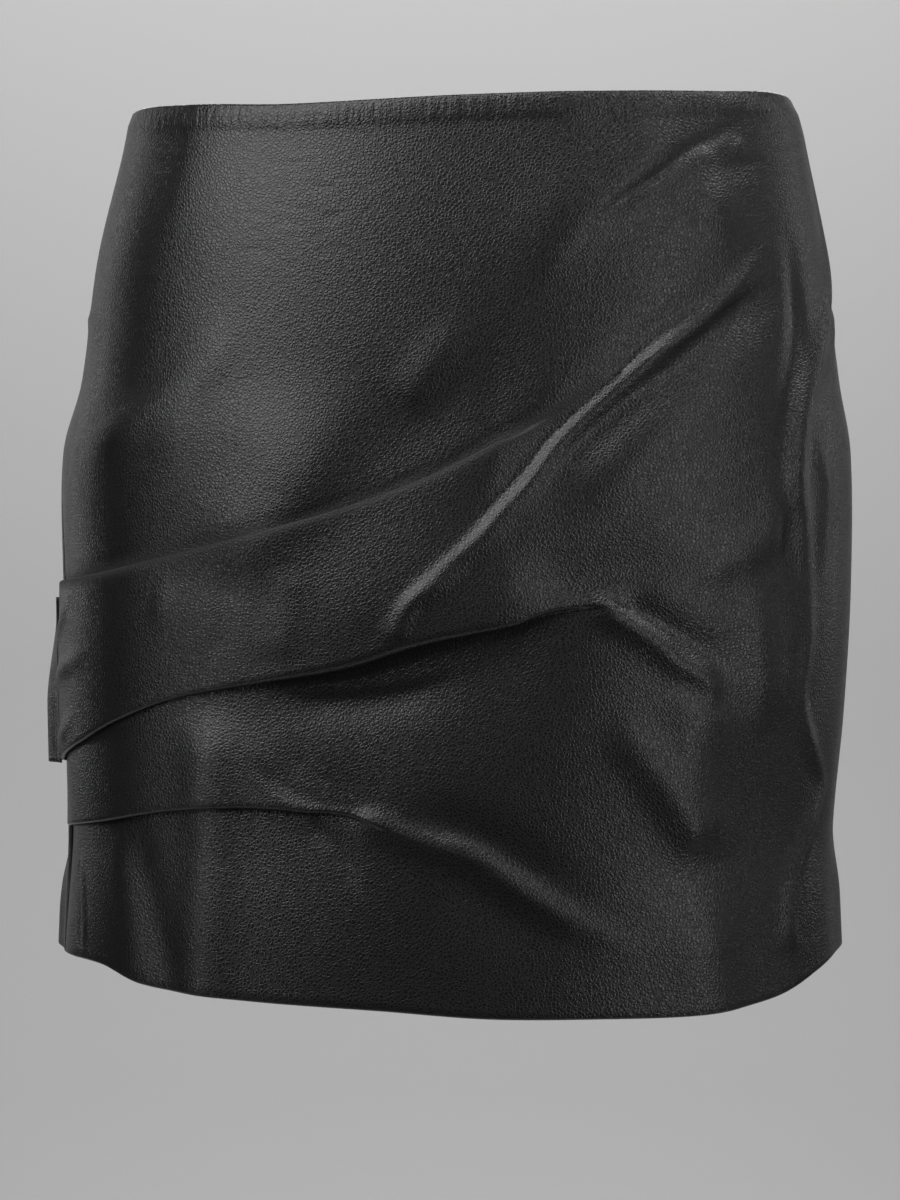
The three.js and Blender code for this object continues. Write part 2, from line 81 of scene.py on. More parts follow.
# Horizontal sections: down, half width, front, back, shift and how far the corners are pushed out.
SECTIONS = np.array([
    (0, 143.5, 104, 96, 1.5, 0.045),
    (10, 148.3, 105.4, 98.2, 1.4, 0.045),
    (25, 151.5, 107, 101, 1.2, 0.045),
    (70, 160.5, 111, 111, -0.5, 0.05),
    (125, 167.5, 115, 123, -0.7, 0.05),
    (155, 174, 116.3, 128, -2.3, 0.05),
    (215, 174, 117.5, 130, -2.2, 0.05),
    (270, 171.8, 117.5, 126, -3.2, 0.05),
    (320, 168.8, 117, 121, -5, 0.055),
    (350, 169.5, 117.5, 120, -5, 0.06),
    (395, 171.5, 118.5, 120, -5, 0.06),
])

# The free edges: turn and down.
WAIST_EDGE = np.array([
    (-180, -7), (-130, -3), (-90, 4.5), (-60, 8), (-46, 10.3), (-28, 12.6), (0, 10),
    (24, 7.5), (44, 4.8), (58, 2), (75, 0), (90, -0.5), (130, -4), (180, -7),
])
HEM_EDGE = np.array([
    (-180, 367), (-130, 370), (-90, 375.5), (-70, 374.5), (-56, 375.5), (-46, 382),
    (-30, 386.5), (-10, 390), (5, 393.3), (20, 393.8), (36, 393.3), (49, 388.5),
    (62, 379.5), (75, 374.5), (90, 372), (130, 369), (180, 367),
])

# The side seams: down and turn.
LEFT_SEAM = np.array([(-10, -86), (200, -84), (400, -81)])
RIGHT_SEAM = np.array([(-10, 89), (400, 91)])

# The upper, middle and lower pleats of the front panel. side is 1 where the leather below the edge lies over what is
# above it, and -1 the other way round. depth is that of the hidden layers at the seam. The pleat opens between the
# turns opens and dies. roll is the radius of its folds by turn, and edge the line of the fold that shows, as turn
# and down.
PLEATS = [
    dict(side=1, depth=26, opens=1, dies=14,
         roll=[(-86, FLAT_ROLL), (15, FLAT_ROLL)],
         edge=[(-90, 213), (-58, 209.5), (-37, 199.5), (-20, 187), (-5, 171), (5, 156), (13, 143),
               (24, 122), (36, 108), (55, 100), (95, 95)]),
    dict(side=-1, depth=24, opens=0, dies=26,
         roll=[(-86, FLAT_ROLL), (-40, 0.8), (-28, 1.6), (-12, 2.8), (22, 1.3)],
         edge=[(-90, 294), (-64, 281), (-52, 271), (-40, 261), (-28, 255), (-15, 248.5), (-5, 239),
               (5, 232.5), (18, 225), (35, 228), (60, 232), (95, 232)]),
    dict(side=-1, depth=15, opens=-28, dies=-4,
         roll=[(-86, FLAT_ROLL), (-20, 1.1), (0, 1)],
         edge=[(-90, 320.5), (-58, 314.5), (-40, 308), (-27, 306.5), (-15, 310.5), (-7, 319),
               (5, 330), (30, 338), (95, 336)]),
]


def fold(name, height, wide, fade, path):
    """A soft crest of the leather, or a trough where height is negative. wide is its half widths to the left and
    right of its path, as walked on the outside, and fade the share of the path over which each end dies out."""
    return dict(name=name, height=height, wide=wide, fade=fade, path=path)


LARGE_FOLDS = [
    fold("hip sweep", 1.5, (5, 2.6), (0.2, 0.3),
         [(52, 62), (49, 72), (44, 85), (36, 103), (29, 116), (24, 128), (18, 144), (13, 158), (10, 170),
          (6, 183), (2, 197), (-2, 208), (-6, 220), (-8.5, 230), (-10.5, 240), (-14, 246)]),
    fold("valley above the hip sweep", -2.2, (2.8, 10), (0.3, 0.3),
         [(48.5, 66), (43, 80), (35, 99), (28, 112), (23, 125), (17, 140), (12.5, 154), (9, 168),
          (5.5, 180), (1.5, 194), (-3, 206)]),
    fold("valley below the hip sweep", -3.4, (12, 7), (0.2, 0.35),
         [(57, 74), (45.5, 94), (37, 109), (30, 126), (23.5, 138), (18, 152), (14, 166), (9, 185)]),
    fold("swell at the right of the waist", 2.5, (14, 12), (0.5, 0.5), [(45, 40), (39.5, 54), (34, 70)]),
    fold("tuck crease", -1.4, (1.7, 2.6), (0.25, 0.6),
         [(49, 16), (43, 24), (36, 32), (31, 42), (24, 54), (20, 64), (17, 77), (14, 90)]),
    fold("tuck ridge", 1.1, (6, 2.4), (0.5, 0.6),
         [(41, 30), (35, 36), (30.5, 47), (27, 54), (24, 63), (20.5, 75)]),
    fold("swell above the tuck", 3, (10, 20), (0.3, 0.5),
         [(39, 20), (30, 32), (22, 50), (15, 71), (8.5, 96)]),
    fold("outer side fold", 2.4, (6, 7), (0.3, 0.3),
         [(82, 6), (83, 35), (84, 64), (69.5, 99), (60, 124), (54, 144), (52, 165), (53, 186), (55, 220),
          (56.5, 254)]),
    fold("valley inside the outer fold", -2.2, (6, 7), (0.3, 0.3),
         [(57, 56), (57, 80), (56.5, 105), (52, 136), (49, 166), (50, 195), (52, 229)]),
    fold("second outer fold", 1.2, (5, 5), (0.35, 0.4), [(57, 148), (61, 169), (60, 194), (59, 220)]),
    fold("corner of the right hip", 2.2, (7, 10), (0.3, 0.4),
         [(56, 105), (52, 144), (50, 166), (48, 184), (44, 197), (37, 204), (28.5, 206), (21, 216)]),
    fold("trough above the knot", -2.5, (14, 6), (0.35, 0.4),
         [(6, 214), (11, 214), (17, 214), (25, 208), (34, 202), (41, 193)]),
    fold("strut", 2.3, (2.6, 6), (0.15, 0.2),
         [(18, 219), (21.5, 226), (27, 236), (31, 246), (35, 252), (36.5, 258), (36, 267)]),
    fold("valley beside the strut", -2.2, (8, 3), (0.2, 0.4),
         [(21, 218), (25.5, 226), (31, 236), (37, 246), (41, 258)]),
    fold("right panel roll", 2.4, (14, 9), (0.4, 0.4), [(40, 204), (44, 228), (46, 258), (47, 280)]),
    fold("first drop", 2.4, (13, 15), (0.2, 0.3),
         [(36.5, 258), (35, 270), (34, 287), (35, 304), (37, 322), (38, 333)]),
    fold("second drop", 2, (8, 9), (0.35, 0.15), [(21, 264), (26, 284), (32, 306), (37, 324)]),
    fold("slope to the right hem", 2.4, (11, 17), (0.5, 0), [(36.5, 337), (37, 358), (38, 377), (39, 392)]),
    fold("valley at the right hem", -1.6, (22, 18), (0.35, 0),
         [(43.5, 262), (43.5, 288), (44.5, 317), (45, 338), (44, 363), (43, 392)]),
    fold("right hem flare", 2.5, (16, 16), (0.6, 0), [(84, 318), (85, 345), (86, 390)]),
    fold("right side ripple", 1.8, (4, 5), (0.3, 0.3),
         [(54, 204), (55.5, 238), (54.5, 263), (59.5, 284), (69, 302)]),
    fold("lower side ripple", 2, (4, 6), (0.3, 0.2),
         [(68, 294), (62, 314), (56, 336), (53.5, 356), (54, 373)]),
    fold("long lower fold", 1.7, (4.5, 7), (0.1, 0.35),
         [(-14, 307), (-9, 314), (-3.5, 320), (3, 325), (8, 336), (14, 348), (21.5, 359), (29, 368)]),
    fold("valley above the long fold", -1.5, (10, 6), (0.3, 0.4),
         [(-7, 309), (0, 315), (7, 324), (15, 338), (24, 350)]),
    fold("valley below the long fold", -1, (10, 16), (0.3, 0.4),
         [(-3, 331), (3, 342), (10, 354), (18, 367)]),
    fold("shoulder in the middle tier", 0.6, (7, 10), (0.35, 0.3),
         [(-33, 262), (-29, 280), (-23, 296), (-17, 304), (-10, 309)]),
    fold("valley in the middle tier", -1.3, (15, 4), (0.3, 0.4),
         [(-28.5, 284), (-22.5, 299), (-15.5, 305), (-7, 308)]),
    fold("front left column", 2.4, (12, 12), (0.2, 0),
         [(-36, 262), (-35, 287), (-35, 308), (-35, 333), (-35, 362), (-35, 387)]),
    fold("left hem fold", 0.6, (10, 12), (0.3, 0),
         [(-58, 316), (-52.5, 330), (-49, 351), (-47.5, 370), (-44, 382)]),
    fold("left hem trough", -1.1, (9, 10), (0.3, 0), [(-50.5, 316), (-47, 334), (-44, 354), (-41, 380)]),
    fold("left hem flare", 6.5, (14, 16), (0.7, 0), [(-96, 318), (-98, 345), (-99, 390)]),
    fold("band crease", -0.5, (6, 3), (0.25, 0.25), [(-31, 202), (-32, 224), (-33.5, 248)]),
    fold("second band crease", 0.7, (7, 9), (0.25, 0.25), [(-21.5, 204), (-23, 228), (-24, 248)]),
    fold("shoulder above the band", 4, (18, 28), (0.45, 0.3),
         [(-14, 125), (-17, 146), (-20, 162), (-23, 177), (-26.5, 190), (-29, 204), (-31, 220)]),
    fold("streak above the band", 1.5, (8, 10), (0.4, 0.4), [(3, 98), (-5, 128), (-8.5, 144)]),
    fold("left side drag", 1.6, (8, 8), (0.4, 0.5), [(-65, 156), (-50, 146), (-38, 120)]),
    fold("back drag from the left", 3, (14, 18), (0.2, 0.5),
         [(-100, 236), (-120, 252), (-145, 262), (-165, 262)]),
    fold("trough under the left back drag", -2.5, (14, 12), (0.2, 0.5),
         [(-102, 272), (-122, 292), (-142, 306)]),
    fold("back drag from the right", 3, (14, 18), (0.2, 0.5), [(104, 168), (126, 190), (150, 202)]),
    fold("back right column", 3.5, (14, 14), (0.4, 0), [(128, 268), (126, 320), (124, 395)]),
    fold("back right hollow", -3, (16, 16), (0.4, 0), [(112, 290), (109, 330), (107, 395)]),
    fold("back left column", 3, (16, 16), (0.4, 0), [(-140, 280), (-136, 330), (-134, 395)]),
    fold("right seat swell", 2.5, (34, 34), (0.45, 0.45), [(150, 130), (148, 175), (152, 220)]),
    fold("left seat swell", 2.5, (34, 34), (0.45, 0.45), [(-150, 130), (-148, 175), (-152, 220)]),
]

FINE_FOLDS = [
    fold("twin of the hip sweep", 1.1, (3, 3.4), (0.3, 0.1),
         [(2, 204), (-2, 214), (-6, 222), (-7, 230), (-8, 238)]),
    fold("first pucker at the tuck", 1.2, (3, 3), (0.5, 0.5), [(46, 24), (46.5, 28), (46, 33)]),
    fold("second pucker at the tuck", 1, (3, 3), (0.5, 0.5), [(39, 31), (39, 34), (39, 38)]),
    fold("crease under the puckers", -0.8, (2, 2), (0.4, 0.4), [(41, 38), (46.5, 36), (54, 32)]),
    fold("second crease under the puckers", -0.5, (1.8, 1.8), (0.4, 0.4), [(42, 42), (47, 40), (53, 38)]),
    fold("curl at the lower pleat", -0.9, (2, 4), (0.1, 0.45),
         [(-20, 312), (-17, 318), (-14, 330), (-12, 344)]),
    fold("first rim wrinkle", 1.4, (4, 5), (0.15, 0.5), [(-84, 256), (-70, 248), (-58, 243)]),
    fold("second rim wrinkle", 1.2, (4, 4), (0.15, 0.5), [(-84, 240), (-74, 228), (-66, 216)]),
    fold("third rim wrinkle", 1.2, (4, 4), (0.15, 0.5), [(-84, 284), (-74, 278), (-64, 268)]),
    fold("bump on the band", 0.7, (8, 8), (0.5, 0.5), [(-45, 220), (-39, 226)]),
    fold("allowance of the left seam", 0.8, (1.6, 1.6), (0.2, 0.15), [(-68, 330), (-65, 345), (-62, 372)]),
    fold("dip by the left allowance", -0.6, (1.6, 2.2), (0.2, 0.15), [(-70, 332), (-67, 347), (-64, 372)]),
    fold("left hip wrinkle", 1.2, (4, 5), (0.3, 0.5), [(-84, 96), (-74, 99), (-64, 108)]),
    fold("right hip wrinkle", 1.2, (4, 5), (0.3, 0.5), [(88, 92), (80, 100), (73, 116)]),
    fold("back wrinkle from the left seam", 1.2, (5, 6), (0.2, 0.5),
         [(-99, 246), (-112, 240), (-126, 238)]),
    fold("back wrinkle from the right seam", 1.2, (5, 6), (0.2, 0.5), [(93, 112), (106, 122), (120, 128)]),
    fold("second back wrinkle from the right", 1.1, (4, 5), (0.2, 0.5),
         [(93, 214), (108, 222), (124, 224)]),
    fold("small of the back crease", -0.8, (4, 5), (0.4, 0.4), [(150, 58), (172, 62), (-166, 58)]),
    fold("second small of the back crease", -0.7, (4, 5), (0.4, 0.4), [(158, 78), (178, 81), (-160, 77)]),
    fold("left corner of the waist", 1.4, (30, 16), (0, 0.6),
         [(-45.5, 8), (-45.5, 30), (-45.5, 56), (-46.5, 81)]),
    fold("pocket under the middle pleat", -1.2, (3.5, 9), (0.3, 0.4),
         [(-28, 257), (-21, 262), (-15, 262), (-9, 260), (-2, 255), (5, 248)]),
    fold("swell at the middle of the waist", 1.4, (16, 26), (0, 0.6),
         [(16, 12), (15, 34), (12, 63), (6.5, 88), (1, 108)]),
    fold("soft line from the left hip", 1.2, (9, 14), (0.4, 0.4),
         [(-33.5, 95), (-36, 116), (-40, 136), (-41, 158), (-43, 186)]),
    fold("dark strip above the upper pleat", -1.3, (22, 16), (0.5, 0.5),
         [(-22.5, 168), (-12, 156), (-2.5, 141), (6, 123), (12, 108)]),
    fold("swell under the hip sweep", 1.5, (14, 12), (0.4, 0.4),
         [(14, 190), (21, 170), (28.5, 150), (36.5, 130)]),
]
FOLDS = LARGE_FOLDS + FINE_FOLDS

# The tab behind the left seam, over the pleat ends: how far down it begins and ends, how many degrees wide it is,
# how far it lies off the form at the seam and at its crest, where across it the crest is, and how fast it is reached.
TAB = dict(top=219, bottom=292, wide=19, seam_lift=3.2, crest_lift=9, crest=0.62, rises=1.5)

# How finely the pieces are divided
FRONT_COLUMNS = 226
FRONT_ROWS = (46, 36, 48, 24)  # above, between and below the pleats
BACK_COLUMNS = 150
BACK_ROWS = 130
TAB_COLUMNS = 36
TAB_ROWS = 48
ARC = 5  # steps in a fold's half turn
PATH_STEPS = 5
FOLD_REACH = 2.6  # how many of its widths a soft fold reaches
SEAM_SHARES = (0, 0.0025, 0.006)  # the close columns where a panel rolls in at its seam
INNER_SHARE = 0.01  # where the even columns begin


def ease(x):
    t = np.clip(x, 0, 1)
    return t * t * (3 - 2 * t)


def along(table, at, column=1):
    """A smooth curve through a table's rows: another column where the first one is at."""
    table = np.asarray(table, float)
    x, y = table[:, 0], table[:, column]
    slope = np.empty(len(x))
    slope[0] = (y[1] - y[0]) / (x[1] - x[0])
    slope[-1] = (y[-1] - y[-2]) / (x[-1] - x[-2])
    slope[1:-1] = (y[2:] - y[:-2]) / (x[2:] - x[:-2])
    at = np.clip(at, x[0], x[-1])
    i = np.clip(np.searchsorted(x, at, side="right") - 1, 0, len(x) - 2)
    step = x[i + 1] - x[i]
    t = (at - x[i]) / step
    rising = (t**3 - 2 * t**2 + t) * step * slope[i] + (t**3 - t**2) * step * slope[i + 1]
    return (2 * t**3 - 3 * t**2 + 1) * y[i] + (3 * t**2 - 2 * t**3) * y[i + 1] + rising


def on_form(turn, down, lift):
    """Places on the oval of the skirt, in millimetres, lift out from it."""
    t = np.radians(turn)
    wide, front, back, shift, square = (along(SECTIONS, down, c) for c in range(1, 6))
    corner = 1 + square * np.sin(2 * t) ** 2
    depth = np.where(np.cos(t) >= 0, front, back)
    out = np.stack([np.sin(t) / wide, -np.cos(t) / depth, 0 * t], -1)
    out /= np.linalg.norm(out, axis=-1, keepdims=True)
    places = np.stack([shift + wide * np.sin(t) * corner, -depth * np.cos(t) * corner, -down], -1)
    return places + out * np.asarray(lift)[..., None]


# Millimetres round the body from the centre front, on a flat plan of the leather.
FRONT_RATE = 3.05
SIDE_LOSS = 4.4e-5
QUARTER = 90 * (FRONT_RATE - SIDE_LOSS * 90**2)
GIRTH = 4 * QUARTER
SEAM_TURN = SEAM_GAP / 2 / (FRONT_RATE - 3 * SIDE_LOSS * 90**2)


def across(turn):
    wrapped = turn - 360 * np.round(np.asarray(turn, float) / 360)
    near = wrapped * (FRONT_RATE - SIDE_LOSS * wrapped**2)
    rest = 180 - np.abs(wrapped)
    far = np.sign(wrapped) * (2 * QUARTER - rest * (FRONT_RATE - SIDE_LOSS * rest**2))
    return np.where(np.abs(wrapped) <= 90, near, far)


def steps_of(path):
    """A fold's path as short straight steps on the flat plan."""
    points = np.array([(float(across(turn)), down) for turn, down in path])
    points[:, 0] -= GIRTH * np.round((points[:, 0] - points[0, 0]) / GIRTH)
    ends = np.vstack([2 * points[0] - points[1], points, 2 * points[-1] - points[-2]])
    steps = []
    for p0, p1, p2, p3 in zip(ends, ends[1:], ends[2:], ends[3:]):
        d0, d1, d2 = (max(np.hypot(*(b - a)) ** 0.5, 1e-4) for a, b in ((p0, p1), (p1, p2), (p2, p3)))
        t1 = ((p1 - p0) / d0 - (p2 - p0) / (d0 + d1) + (p2 - p1) / d1) * d1
        t2 = ((p2 - p1) / d1 - (p3 - p1) / (d1 + d2) + (p3 - p2) / d2) * d1
        t = np.arange(PATH_STEPS)[:, None] / PATH_STEPS
        steps.append((2 * t**3 - 3 * t**2 + 1) * p1 + (t**3 - 2 * t**2 + t) * t1
                     + (3 * t**2 - 2 * t**3) * p2 + (t**3 - t**2) * t2)
    return np.vstack(steps + [points[-1:]])


def rise(one, x, y):
    """How far one fold moves the leather out at places on the flat plan."""
    steps = steps_of(one["path"])
    left, right = one["wide"]
    reach = FOLD_REACH * max(left, right)
    x = x - GIRTH * np.round((x - steps[0, 0]) / GIRTH)
    low, high = steps.min(0) - reach, steps.max(0) + reach
    near = (x > low[0]) & (x < high[0]) & (y > low[1]) & (y < high[1])
    out = np.zeros(x.shape)
    if not near.any():
        return out
    x, y = x[near], y[near]
    best = np.full(x.shape, np.inf)
    share = np.zeros(x.shape)
    side = np.ones(x.shape)
    last = len(steps) - 1
    for i, (a, b) in enumerate(zip(steps, steps[1:])):
        dx, dy = b - a
        t = np.clip(((x - a[0]) * dx + (y - a[1]) * dy) / (dx * dx + dy * dy), 0, 1)
        gx, gy = x - a[0] - t * dx, y - a[1] - t * dy
        gap = np.hypot(gx, gy)
        closer = gap < best
        best = np.where(closer, gap, best)
        share = np.where(closer, (i + t) / last, share)
        side = np.where(closer, gx * dy - gy * dx, side)
    crest = one["height"] * np.exp(-((best / np.where(side > 0, left, right)) ** 2))
    start, end = one["fade"]
    if start:
        crest = crest * ease(share / start)
    if end:
        crest = crest * ease((1 - share) / end)
    out[near] = crest
    return out


def relief(turn, down):
    x = across(turn)
    return sum((rise(one, x, down) for one in FOLDS), np.zeros(np.shape(turn)))


def settle(turn_at, table):
    """Where an edge lies in each column, since the seams slant."""
    down = along(table, turn_at(0.0))
    for _ in range(4):
        down = along(table, turn_at(down))
    return down


def lay_pleat(pleat, turn_at):
    """One pleat as rows of down and out across the columns, from where its hidden part begins."""
    edge = settle(turn_at, pleat["edge"])
    turn = turn_at(edge)
    opened = ease((turn - pleat["opens"]) / (pleat["dies"] - pleat["opens"]))
    seam = pleat["edge"][0][0]
    share = np.clip((turn - seam) / (pleat["opens"] - seam), 0, 1)
    roll = along(pleat["roll"], turn)
    angle = np.pi * (1 - opened)
    apart = 2 * roll * (1 - ease(opened))
    length = apart * angle / np.maximum(1 - np.cos(angle), 1e-6) + OPEN_STRIP * opened
    flat = pleat["depth"] * (1 - PLEAT_TAPER * share**2)
    hidden = flat + (OPEN_DEPTH - flat) * ease(opened * SHRINK_FIRST)
    curl = [((k + 0.5) / ARC * angle, length / ARC) for k in range(ARC)]
    walk = curl + [(angle, hidden / 2)] * 2 + curl[::-1]
    down, out = [0 * turn], [0 * turn]
    for heading, far in walk:
        down.append(down[-1] + far * np.cos(heading))
        out.append(out[-1] + pleat["side"] * far * np.sin(heading))
    down, out = np.array(down), np.array(out)
    shown = down.min(0) if pleat["side"] > 0 else down.max(0)
    return down + edge - shown, out - out[-1] / 2


def push(pleats, down, panel, skipped=None):
    """How far the pleats press the leather in or out at a place with that many pleats above it."""
    total = 0 * down
    if panel < len(pleats) and PLEATS[panel]["side"] > 0 and skipped is None:
        edge = pleats[panel][0].min(0)
        tucked = np.clip(-pleats[panel][1][0] / FLAT_ROLL, 0, 1)
        total = total - TUCK * tucked * np.exp(-(((down - edge) / TUCK_WIDE) ** 2))
    for i, (rows, out) in enumerate(pleats):
        if i == skipped:
            continue
        above = i < panel
        away = np.maximum(down - rows.max(0) if above else rows.min(0) - down, 0)
        total = total + (out[-1] if above else out[0]) * np.exp(-((away / SETTLE) ** 2))
    return total


def turned_edge(edge, way):
    """The leather turned in at a free edge, from its hidden end to the top of the turn. way is 1 at the waist, where
    the leather runs down from the edge, and -1 at the hem."""
    first = [(TURNED, -2 * FLAT_ROLL), (TURNED / 2, -2 * FLAT_ROLL)]
    angles = [math.pi * k / ARC for k in range(ARC)]
    first += [(FLAT_ROLL * (1 - math.sin(a)), -FLAT_ROLL * (1 + math.cos(a))) for a in angles]
    return [(edge + way * (WALL / 2 + down), out + 0 * edge) for down, out in first]


def turned_rise(from_edge):
    return TURNED_RISE * (1 - ease((from_edge - TURNED + 2) / TURNED_FADE))


def seam_dip(from_seam):
    return -SEAM_DIP * np.exp(-((from_seam / SEAM_ROLL) ** 2))


def column_shares(columns):
    """Where the columns of a panel lie, as shares of the way from its first seam to its second."""
    close = np.array(SEAM_SHARES)
    even = np.linspace(INNER_SHARE, 1 - INNER_SHARE, columns + 1 - 2 * len(close))
    return np.concatenate([close, even, 1 - close[::-1]])


def laid_panel(rows, turn_at, waist, from_seam):
    """Turn, down, lift and distance from the waist edge of a panel's rows, once its edges and seams are shaped."""
    down = np.array([row[0] for row in rows])
    lift = np.array([row[1] for row in rows])
    return turn_at(down), down, lift + turned_rise(down - waist) + seam_dip(from_seam), down - waist


def front_cloth():
    """The front panel as rows by columns, from the waist to the hem: turn, down, lift, distance from the waist edge
    and how near the fold of the upper pleat is."""
    shares = column_shares(FRONT_COLUMNS)

    def turn_at(down):
        left = along(LEFT_SEAM, down) + SEAM_TURN
        right = along(RIGHT_SEAM, down) - SEAM_TURN
        return left + (right - left) * shares
    waist = settle(turn_at, WAIST_EDGE)
    hem = settle(turn_at, HEM_EDGE)
    pleats = [lay_pleat(pleat, turn_at) for pleat in PLEATS]
    rows = [(down, out + push(pleats, down, 0)) for down, out in turned_edge(waist, 1)]
    above = waist + WALL / 2 + FLAT_ROLL
    for i, (downs, outs) in enumerate(pleats):
        for k in range(FRONT_ROWS[i]):
            down = above + (downs[0] - above) * k / FRONT_ROWS[i]
            rows.append((down, push(pleats, down, i)))
        for down, out in list(zip(downs, outs))[:-1]:
            rows.append((down, push(pleats, down, i, i) + out))
        above = downs[-1]
    last = FRONT_ROWS[-1]
    bottom = hem - WALL / 2 - FLAT_ROLL
    for k in range(last + 1):
        down = above + (bottom - above) * k / last
        rows.append((down, push(pleats, down, len(pleats))))
    rows += [(down, out + push(pleats, down, len(pleats))) for down, out in turned_edge(hem, -1)[::-1]]
    ends = across(turn_at(rows[0][0])[[0, -1]])
    cloth = laid_panel(rows, turn_at, waist, (ends[1] - ends[0]) * np.minimum(shares, 1 - shares))
    turn, down = cloth[:2]
    off_fold = (down - settle(turn_at, PLEATS[0]["edge"])) / FOLD_WIDE
    died_out = ease((turn - FOLD_ENDS[0]) / (FOLD_ENDS[1] - FOLD_ENDS[0]))
    return *cloth, np.exp(-(off_fold**2)) * (1 - died_out)


def back_cloth():
    """The back panel, as the front one, with no pleats."""
    shares = column_shares(BACK_COLUMNS)

    def turn_at(down):
        right = along(RIGHT_SEAM, down) + SEAM_TURN
        left = along(LEFT_SEAM, down) + 360 - SEAM_TURN
        return right + (left - right) * shares

    def wrapped(down):
        turn = turn_at(down)
        return turn - 360 * (turn > 180)
    waist = settle(wrapped, WAIST_EDGE)
    hem = settle(wrapped, HEM_EDGE)
    rows = turned_edge(waist, 1)
    top, bottom = waist + WALL / 2 + FLAT_ROLL, hem - WALL / 2 - FLAT_ROLL
    rows += [(top + (bottom - top) * k / BACK_ROWS, 0 * top) for k in range(BACK_ROWS + 1)]
    rows += turned_edge(hem, -1)[::-1]
    cloth = laid_panel(rows, turn_at, waist, 2 * QUARTER * np.minimum(shares, 1 - shares))
    return *cloth, 0 * cloth[0]


def tab_cloth():
    """The tab: its free end lies against the back panel, and it stands off in a crest before it comes to the seam."""
    share = np.linspace(0, 1, TAB_COLUMNS + 1)[None, :]
    fall = np.linspace(0, 1, TAB_ROWS + 1)[:, None]
    down = TAB["top"] + (TAB["bottom"] - TAB["top"]) * fall + 0 * share
    turn = along(LEFT_SEAM, down) - 2 * SEAM_TURN - TAB["wide"] * (1 - share)
    lying = WALL + LAYER_GAP
    crest = TAB["seam_lift"] + (TAB["crest_lift"] - TAB["seam_lift"]) * ease(TAB["rises"] * fall)
    seamward = crest + (TAB["seam_lift"] - crest) * ease((share - TAB["crest"]) / (1 - TAB["crest"]))
    backward = lying + (crest - lying) * ease(share / TAB["crest"])
    lift = np.where(share > TAB["crest"], seamward, backward)
    from_edge = 2 * TURNED + 0 * down
    return turn, down, lift, from_edge, 0 * down


def leather_piece(name, cloth, node, materials):
    """A sheet of leather on a grid, thickened, that stands for a node of the frame."""
    turn, down, lift, from_edge, folded = cloth
    places = on_form(turn, down, lift + relief(turn, down)) * MM
    rows, columns = turn.shape
    bm = bmesh.new()
    bmesh.ops.create_grid(bm, x_segments=columns - 1, y_segments=rows - 1, size=1)
    edge_mm = bm.verts.layers.float.new("edge_mm")
    fold_dull = bm.verts.layers.float.new("fold_dull")
    for vert in bm.verts:
        column = round((vert.co.x + 1) / 2 * (columns - 1))
        row = round((1 - vert.co.y) / 2 * (rows - 1))
        vert.co = places[row, column]
        vert[edge_mm] = from_edge[row, column]
        vert[fold_dull] = folded[row, column]
    for face in bm.faces:
        face.smooth = True
    mesh = bpy.data.meshes.new(name)
    bm.to_mesh(mesh)
    bm.free()
    piece = bpy.data.objects.new(name, mesh)
    bpy.context.scene.collection.objects.link(piece)
    for material in materials:
        mesh.materials.append(material)
    thick = piece.modifiers.new("thickness", "SOLIDIFY")
    thick.thickness = WALL * MM
    thick.offset = 0
    thick.use_rim = True
    thick.material_offset = 1
    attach(piece, "root")
    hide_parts(node)
    return piece


def node_of(tree, kind, **values):
    made = tree.nodes.new(kind)
    for name, value in values.items():
        setattr(made, name, value)
    return made


